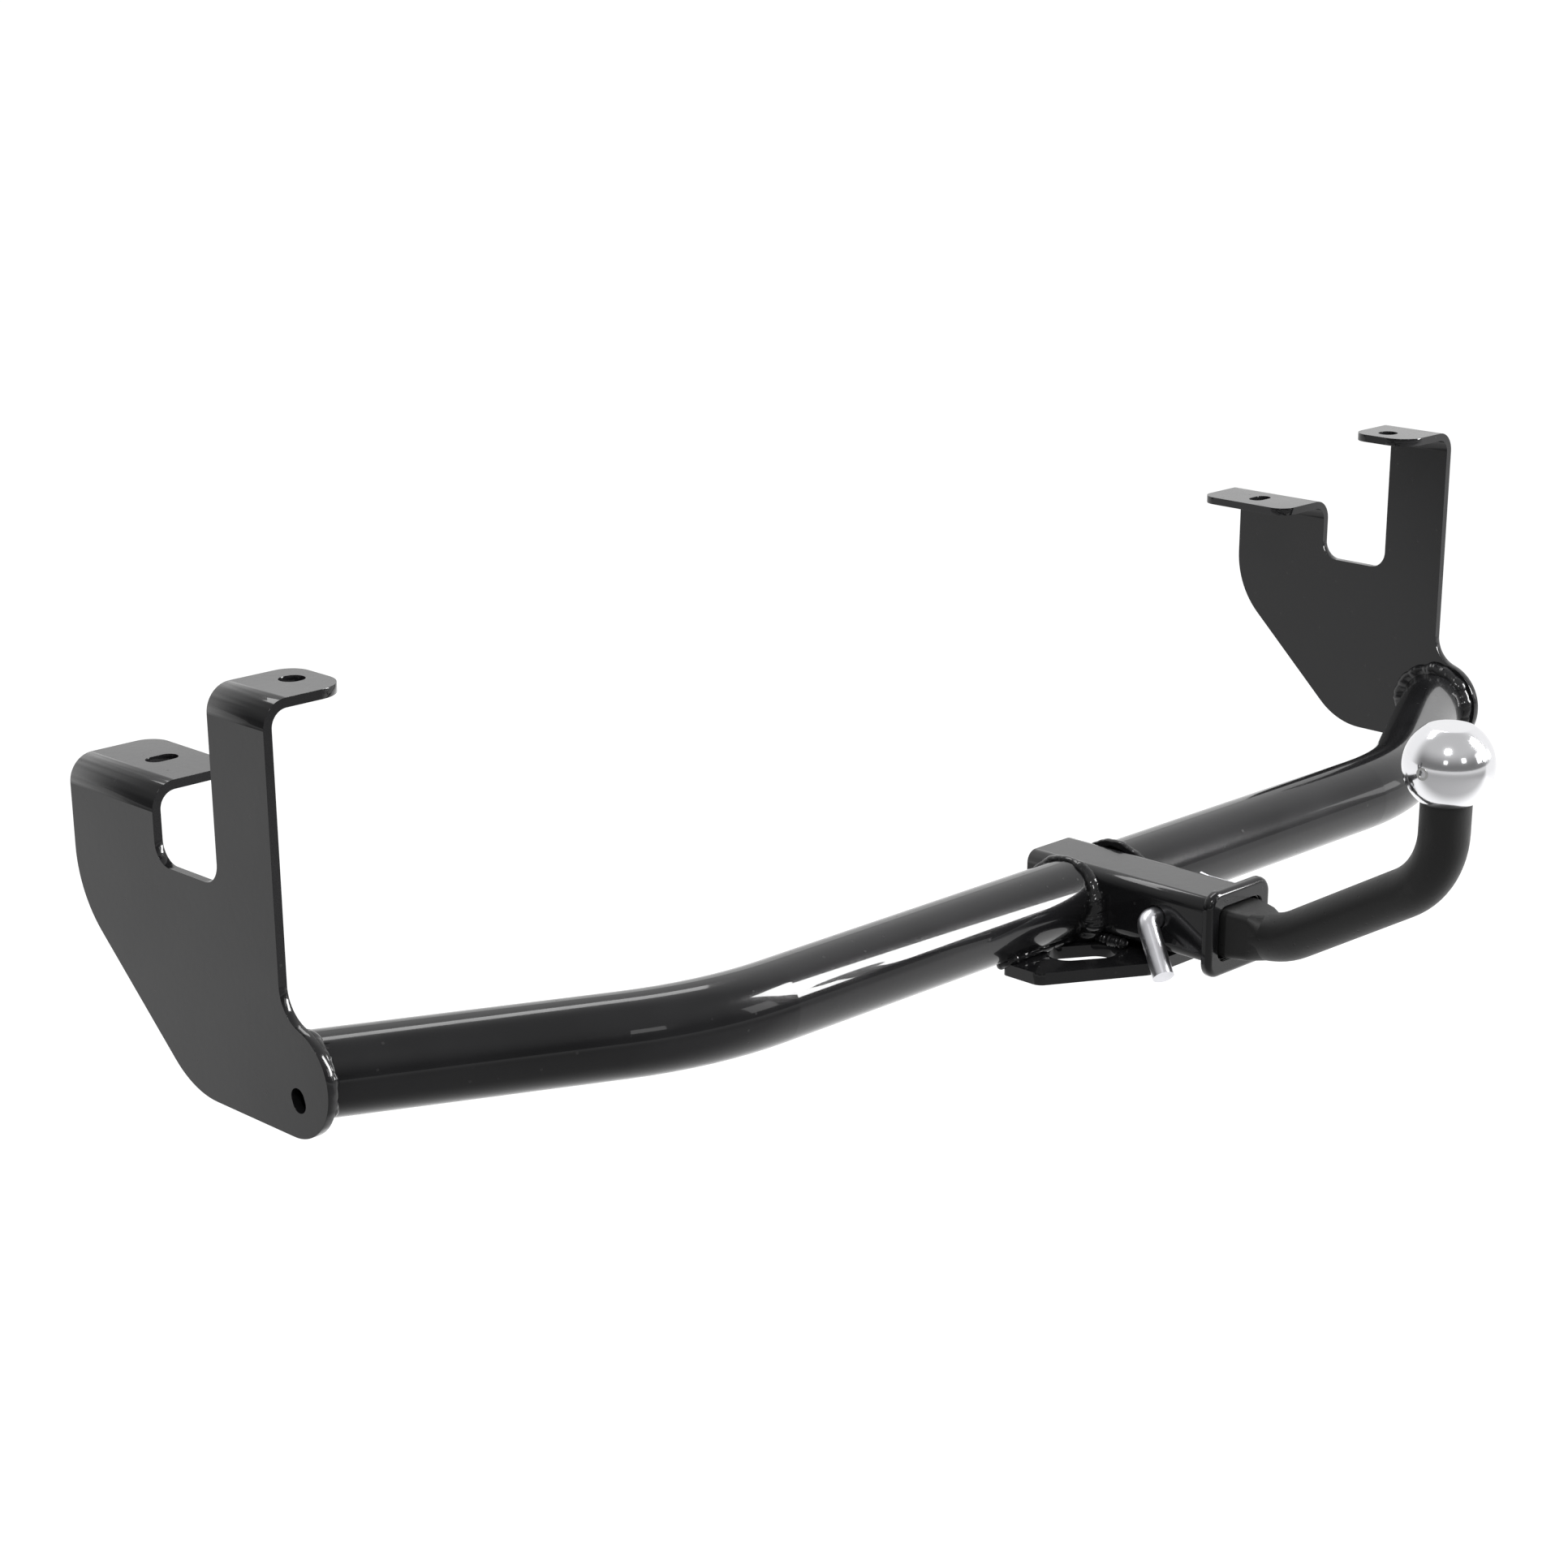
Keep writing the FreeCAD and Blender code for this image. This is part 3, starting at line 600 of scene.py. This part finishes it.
def ball_points(radius, centre, low_z, high_z, lip):
    """Truncated sphere as a surface of revolution about the upright axis.

    The profile runs up the sphere from the seat to the flat, with the rim at the flat rounded off
    over a small lip, then across the flat to its middle.
    """
    start = np.arcsin((low_z - centre[2]) / radius)
    stop = np.arcsin((high_z - centre[2]) / radius) - lip / radius
    tilt = np.linspace(start, stop, 90)
    r = radius * np.cos(tilt)
    z = centre[2] + radius * np.sin(tilt)
    fade = np.linspace(0.0, 1.0, 9)[1:]
    rim_r = r[-1] - (r[-1] - radius * np.cos(stop + 2.2 * lip / radius)) * fade
    rim_z = z[-1] + (high_z - z[-1]) * np.sin(fade * np.pi / 2)
    flat_r = rim_r[-1] * np.linspace(1.0, 0.004, 22)[1:]
    r = np.concatenate([r, rim_r, flat_r])
    z = np.concatenate([z, rim_z, np.full_like(flat_r, high_z)])
    a = np.linspace(0.0, TAU, 160, endpoint=False)
    x = centre[0] + r[:, None] * np.cos(a)
    y = centre[1] + r[:, None] * np.sin(a)
    return np.stack([x, y, np.broadcast_to(z[:, None], x.shape)], axis=-1)


# --- operators -----------------------------------------------------------------
class HITCH_OT_bracket_welds(bpy.types.Operator):
    """Lays the lumpy beads round the tube ends on the brackets"""

    bl_idname = "hitch.bracket_welds"
    bl_label = "Bracket welds"

    def execute(self, context):
        radius = context.scene.hitch_welds.bracket_bead
        coat = bpy.data.materials["weld_coat"]
        for number, (side, sign) in enumerate(SIDES.items()):
            x = sign * (BRACKET_INNER_X - 0.4 * MM)
            path = ring_path(x, TUBE_END, TUBE_R * TUBE_STRETCH + 0.4 * MM, TUBE_R + 0.4 * MM)
            inner, outer = sorted(
                (sign * BRACKET_BEAD_LIMIT, sign * (BRACKET_INNER_X + BRACKET_BEAD_SINK))
            )
            piece = add_bead(
                f"bracket_bead_{side}", path, radius, True, SEEDS["bracket"] + number,
                (0, inner, outer), coat,
            )
            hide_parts(f"{side}_bracket_weld")
        return {"FINISHED"}


class HITCH_OT_receiver_welds(bpy.types.Operator):
    """Lays the beads round the tube on the receiver's side walls"""

    bl_idname = "hitch.receiver_welds"
    bl_label = "Receiver welds"

    def execute(self, context):
        radius = context.scene.hitch_welds.receiver_bead
        coat = bpy.data.materials["weld_coat"]
        for number, (side, sign) in enumerate(SIDES.items()):
            x = sign * (WALL_X + 0.2 * MM)
            path = ring_path(x, TUBE_MID, TUBE_R, TUBE_R)
            ends = sorted(
                (sign * (WALL_X - 2.0 * MM), sign * (WALL_X + RECEIVER_BEAD_LIMIT))
            )
            piece = add_bead(
                f"receiver_bead_{side}", path, radius, True, SEEDS["receiver"] + number,
                (0, *ends), coat, thin=RECEIVER_BEAD_THIN, reach=RECEIVER_BEAD_REACH,
            )
            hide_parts(f"{side}_receiver_weld")
        return {"FINISHED"}


class HITCH_OT_plate_welds(bpy.types.Operator):
    """Lays the beads that hold the chain plate to the tube and receiver"""

    bl_idname = "hitch.plate_welds"
    bl_label = "Plate welds"

    def execute(self, context):
        radius = context.scene.hitch_welds.plate_bead
        coat = bpy.data.materials["weld_coat"]
        top = PLATE_HIGH.z
        edge = PLATE_HIGH.x
        front = PLATE_HIGH.y
        for number, (side, sign) in enumerate(SIDES.items()):
            stations = [
                (WALL_X + 5 * MM, front - 5.0 * MM, top + 2.4 * MM),
                (edge - 4 * MM, front - 5.0 * MM, top + 2.4 * MM),
                (edge - 0.5 * MM, front - 3.2 * MM, top + 0.6 * MM),
                (edge + 0.2 * MM, front + 0.6 * MM, top - 1.6 * MM),
                (edge - 2.5 * MM, front + 2.6 * MM, top - 2.8 * MM),
                (WALL_X + 5 * MM, front + 2.6 * MM, top - 2.8 * MM),
            ]
            path = np.array([(sign * x, y, z) for x, y, z in stations])
            piece = add_bead(
                f"chain_bead_{side}", path, radius, False, SEEDS["chain"] + number,
                (2, PLATE_LOW.z, 0.0), coat,
            )
            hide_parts(f"{side}_chain_weld")
            x = sign * (WALL_X - 2.2 * MM)
            z = top + 2.5 * MM
            path = np.array([(x, y, z) for y in BRIDGE_RUN_Y])
            ends = sorted((sign * 6 * MM, sign * (WALL_X + 6 * MM)))
            piece = add_bead(
                f"bridge_bead_{side}", path, radius * BRIDGE_SHARE, False,
                SEEDS["bridge"] + number, (0, *ends), coat,
            )
            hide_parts(f"{side}_bridge_weld")
        return {"FINISHED"}


class HITCH_OT_collar_weld(bpy.types.Operator):
    """Lays the small bead behind the receiver's collar"""

    bl_idname = "hitch.collar_weld"
    bl_label = "Collar weld"

    def execute(self, context):
        middle = (RECEIVER_LOW.z + RECEIVER_HIGH.z) / 2
        half_z = (RECEIVER_HIGH.z - RECEIVER_LOW.z) / 2
        path = rounded_rectangle(
            WALL_X, half_z, COLLAR_CORNER_R, COLLAR_BACK_Y + 0.3 * MM, middle
        )
        piece = add_bead(
            "collar_bead", path, COLLAR_BEAD_R, True, SEEDS["collar"],
            (1, COLLAR_BACK_Y - COLLAR_BEAD_R, 0.0), bpy.data.materials["weld_coat"],
        )
        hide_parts("collar_weld")
        return {"FINISHED"}


class HITCH_OT_tow_ball(bpy.types.Operator):
    """Turns the smooth chromed ball with its flat top"""

    bl_idname = "hitch.tow_ball"
    bl_label = "Tow ball"

    def execute(self, context):
        centre = (0.0, BALL_Y, BALL_HIGH.z - BALL_FLAT)
        points = ball_points(BALL_R, centre, BALL_LOW.z, BALL_HIGH.z, BALL_LIP)
        piece = grid_mesh(
            "tow_ball_turned", facing_out(points), False, bpy.data.materials["ball_chrome"]
        )
        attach(piece, MOUNT_BODY)
        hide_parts("tow_ball")
        return {"FINISHED"}


class HITCH_OT_finishes(bpy.types.Operator):
    """Makes every finish and puts it on the solids that stay"""

    bl_idname = "hitch.finishes"
    bl_label = "Finishes"

    def execute(self, context):
        look = context.scene.hitch_finishes
        coat = gloss_coat("powder_coat", look.coat_colour, 0.00005, 0.0)
        gloss_coat("weld_coat", look.coat_colour, 0.00006, 0.0005)
        neck = forged_coat(look.forged_colour)
        chrome(look.chrome_colour, BALL_HIGH.z)
        zinc = plated_steel("pin_zinc", look.zinc_colour, 0.24, (1.0, 8.0, 8.0))
        wire = plated_steel("clip_steel", look.zinc_colour, 0.26, (8.0, 8.0, 1.0))
        disc = plated_steel("plug_steel", (0.60, 0.60, 0.59), 0.28, (1.0, 1.0, 1.0))
        for node in (
            "left_bracket", "right_bracket", "receiver_tube", "receiver_collar",
            "chain_plate",
        ):
            clothe(node, coat)
            soften(node, look.edge_round)
        clothe("main_tube", coat)
        clothe("ball_mount", neck)
        clothe("hitch_pin", zinc)
        clothe("pin_clip", wire)
        clothe("ball_plug", disc)
        return {"FINISHED"}


class HITCH_OT_stage(bpy.types.Operator):
    """Sets the floor, the room's light, the lamps and the camera"""

    bl_idname = "hitch.stage"
    bl_label = "Stage"

    def execute(self, context):
        studio = context.scene.hitch_studio
        context.scene.view_settings.view_transform = "Standard"
        add_floor(studio.floor_size / 2, CAD_BOX[0][2] - studio.floor_drop)
        light_room(studio)
        for softbox in SOFTBOXES:
            add_lamp(*softbox)
        centre = Vector((0.0, BALL_Y, BALL_HIGH.z - BALL_FLAT))
        for number, (right, up, size) in enumerate(BALL_GLINTS):
            away = Vector(glint_aim(right, up)) * GLINT_REACH
            power = GLINT_RADIANCE * np.pi * size[0] * size[1]
            add_lamp(f"small_lamp_{number}", centre + away, centre, size, power)
        add_camera(studio.lens)
        return {"FINISHED"}


def add_floor(half, z):
    """Square floor at height z."""
    mesh = bpy.data.meshes.new("floor")
    corners = [(-half, -half, z), (half, -half, z), (half, half, z), (-half, half, z)]
    mesh.from_pydata(corners, [], [(0, 1, 2, 3)])
    mesh.materials.append(pale_floor())
    floor = bpy.data.objects.new("floor", mesh)
    bpy.context.scene.collection.objects.link(floor)


def light_room(studio):
    """Room light by direction: bright beyond the hitch, dim on the viewer's side."""
    world = bpy.data.worlds.new("studio_room")
    bpy.context.scene.world = world
    s = Shader(world)
    aim = s.out(s.node("ShaderNodeTexCoord"), "Generated")
    axes = s.node("ShaderNodeSeparateXYZ", Vector=aim)
    ahead = s.out(axes, 0) * AHEAD[0] + s.out(axes, 1) * AHEAD[1]
    far = s.span(ahead, -0.15, 0.55, studio.near_light, studio.far_light)
    overhead = s.span(s.out(axes, 2), 0.15, 0.7) * (1.0 - s.span(ahead, -0.15, 0.3))
    level = far + overhead * studio.overhead
    room = s.node("ShaderNodeBackground", Color=(1.0, 1.0, 1.0, 1.0), Strength=level)
    s.node("ShaderNodeOutputWorld", Surface=s.out(room))


def glint_aim(right, up):
    """Direction in which the ball throws the view from a point right and up of its
    middle, both in ball radii: twice the normal's share along the view, less the view.
    """
    toward = np.sqrt(1.0 - right ** 2 - up ** 2)
    turned = np.array([right, up, toward]) * 2.0 * toward - (0.0, 0.0, 1.0)
    return turned @ np.array([VIEW_RIGHT, VIEW_UP, VIEW_BACK])


def add_lamp(name, place, target, size, power):
    """Rectangular softbox at a place, facing a target."""
    lamp = bpy.data.lights.new(name, "AREA")
    lamp.shape = "RECTANGLE"
    lamp.size, lamp.size_y = size
    lamp.energy = power
    holder = bpy.data.objects.new(name, lamp)
    holder.location = place
    aim = Vector(target) - Vector(place)
    holder.rotation_euler = aim.to_track_quat("-Z", "Y").to_euler()
    bpy.context.scene.collection.objects.link(holder)


def add_camera(lens):
    """Camera behind and left of the hitch, slightly above it."""
    data = bpy.data.cameras.new("camera")
    data.sensor_width = SENSOR_WIDTH
    data.lens = lens
    data.shift_x, data.shift_y = VIEW_SHIFT
    data.clip_end = VIEW_END
    turn = Matrix((VIEW_RIGHT, VIEW_UP, VIEW_BACK)).transposed().to_4x4()
    camera = bpy.data.objects.new("camera", data)
    camera.matrix_world = Matrix.Translation(VIEW_PLACE) @ turn
    bpy.context.scene.collection.objects.link(camera)
    bpy.context.scene.camera = camera


class HITCH_PT_panel(bpy.types.Panel):
    """Lists the steps that dress the hitch"""

    bl_idname = "HITCH_PT_panel"
    bl_label = "Receiver hitch"
    bl_space_type = "VIEW_3D"
    bl_region_type = "UI"
    bl_category = "Hitch"

    def draw(self, context):
        for settings in ("hitch_welds", "hitch_finishes", "hitch_studio"):
            group = getattr(context.scene, settings)
            for name in group.bl_rna.properties.keys():
                if name not in ("rna_type", "name"):
                    self.layout.prop(group, name)
        for step in STEPS:
            self.layout.operator(step.bl_idname)


SETTINGS = {
    "hitch_welds": HitchWeldSettings,
    "hitch_finishes": HitchFinishSettings,
    "hitch_studio": HitchStudioSettings,
}
STEPS = (
    HITCH_OT_finishes,
    HITCH_OT_bracket_welds,
    HITCH_OT_receiver_welds,
    HITCH_OT_plate_welds,
    HITCH_OT_collar_weld,
    HITCH_OT_tow_ball,
    HITCH_OT_stage,
)


def register():
    for kind in (*SETTINGS.values(), *STEPS, HITCH_PT_panel):
        bpy.utils.register_class(kind)
    for name, kind in SETTINGS.items():
        setattr(bpy.types.Scene, name, bpy.props.PointerProperty(type=kind))


def unregister():
    for name in SETTINGS:
        delattr(bpy.types.Scene, name)
    for kind in (HITCH_PT_panel, *reversed(STEPS), *SETTINGS.values()):
        bpy.utils.unregister_class(kind)


def main():
    """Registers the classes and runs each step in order."""
    register()
    for step in STEPS:
        group, name = step.bl_idname.split(".")
        if getattr(getattr(bpy.ops, group), name)() != {"FINISHED"}:
            raise RuntimeError(f"{step.bl_label} did not finish")


if __name__ == "__main__":
    main()
